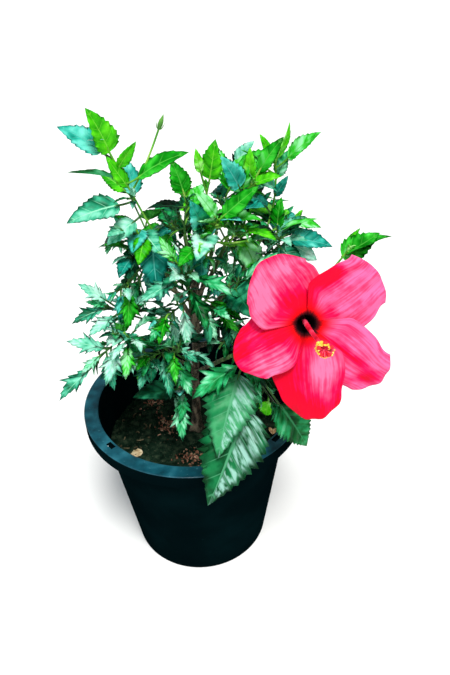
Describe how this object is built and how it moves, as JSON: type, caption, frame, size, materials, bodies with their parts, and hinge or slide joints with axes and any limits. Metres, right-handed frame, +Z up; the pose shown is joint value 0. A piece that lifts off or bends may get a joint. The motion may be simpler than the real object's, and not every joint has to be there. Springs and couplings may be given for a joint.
{
  "type": "potted hibiscus shrub",
  "caption": "Potted hibiscus shrub: a leafy branching crown with a large open bloom, on a short trunk in a filled round nursery pot.",
  "frame": {"origin": "centre of the pot's flat underside, at the level it stands on", "axes": "+Z up from the pot's underside; the bloom faces -Y; +X is to the right as seen from the bloom's side"},
  "size_m": [0.3007, 0.3175, 0.532],
  "materials": {
    "pot_plastic": "satin, moulded, lightly scuffed",
    "soil": "loose, crumbly and damp",
    "bark": "smooth grey-brown bark with fine ridges",
    "green_stem": "soft green skin",
    "leaf_dark": "glossy dark leaf",
    "leaf_mid": "glossy leaf",
    "leaf_blue": "glossy blue-green leaf",
    "leaf_fresh": "soft bright young leaf",
    "petal": "thin silky petal",
    "column": "smooth, with powdery yellow stamens"
  },
  "bodies": {
    "root": {"bough_back": "bark", "bough_back_left": "bark", "bough_back_right": "bark", "bough_bloom": "bark", "bough_centre": "bark", "bough_far_right": "bark", "bough_front": "bark", "bough_front_left": "bark", "bough_front_right": "bark", "bough_inner_right": "bark", "bough_left": "bark", "bough_low_front": "bark", "bough_low_left": "bark", "bough_middle": "bark", "bough_over_soil": "bark", "bough_right": "bark", "bough_right_low": "bark", "bough_top_left": "bark", "flower_column": "column", "flower_petals": "petal", "flower_stalk": "green_stem", "foliage_back": "leaf_dark", "foliage_back_left": "leaf_dark", "foliage_back_right": "leaf_dark", "foliage_bloom": "leaf_fresh", "foliage_centre": "leaf_mid", "foliage_far_right": "leaf_fresh", "foliage_front": "leaf_mid", "foliage_front_left": "leaf_blue", "foliage_inner_right": "leaf_dark", "foliage_left": "leaf_blue", "foliage_low_front": "leaf_mid", "foliage_low_left": "leaf_blue", "foliage_middle": "leaf_fresh", "foliage_over_soil": "leaf_dark", "foliage_right": "leaf_blue", "foliage_right_top": "leaf_fresh", "foliage_top_left": "leaf_fresh", "foliage_under_bloom": "leaf_mid", "pot": "pot_plastic", "soil": "soil", "trunk": "bark"}
  },
  "joints": []
}
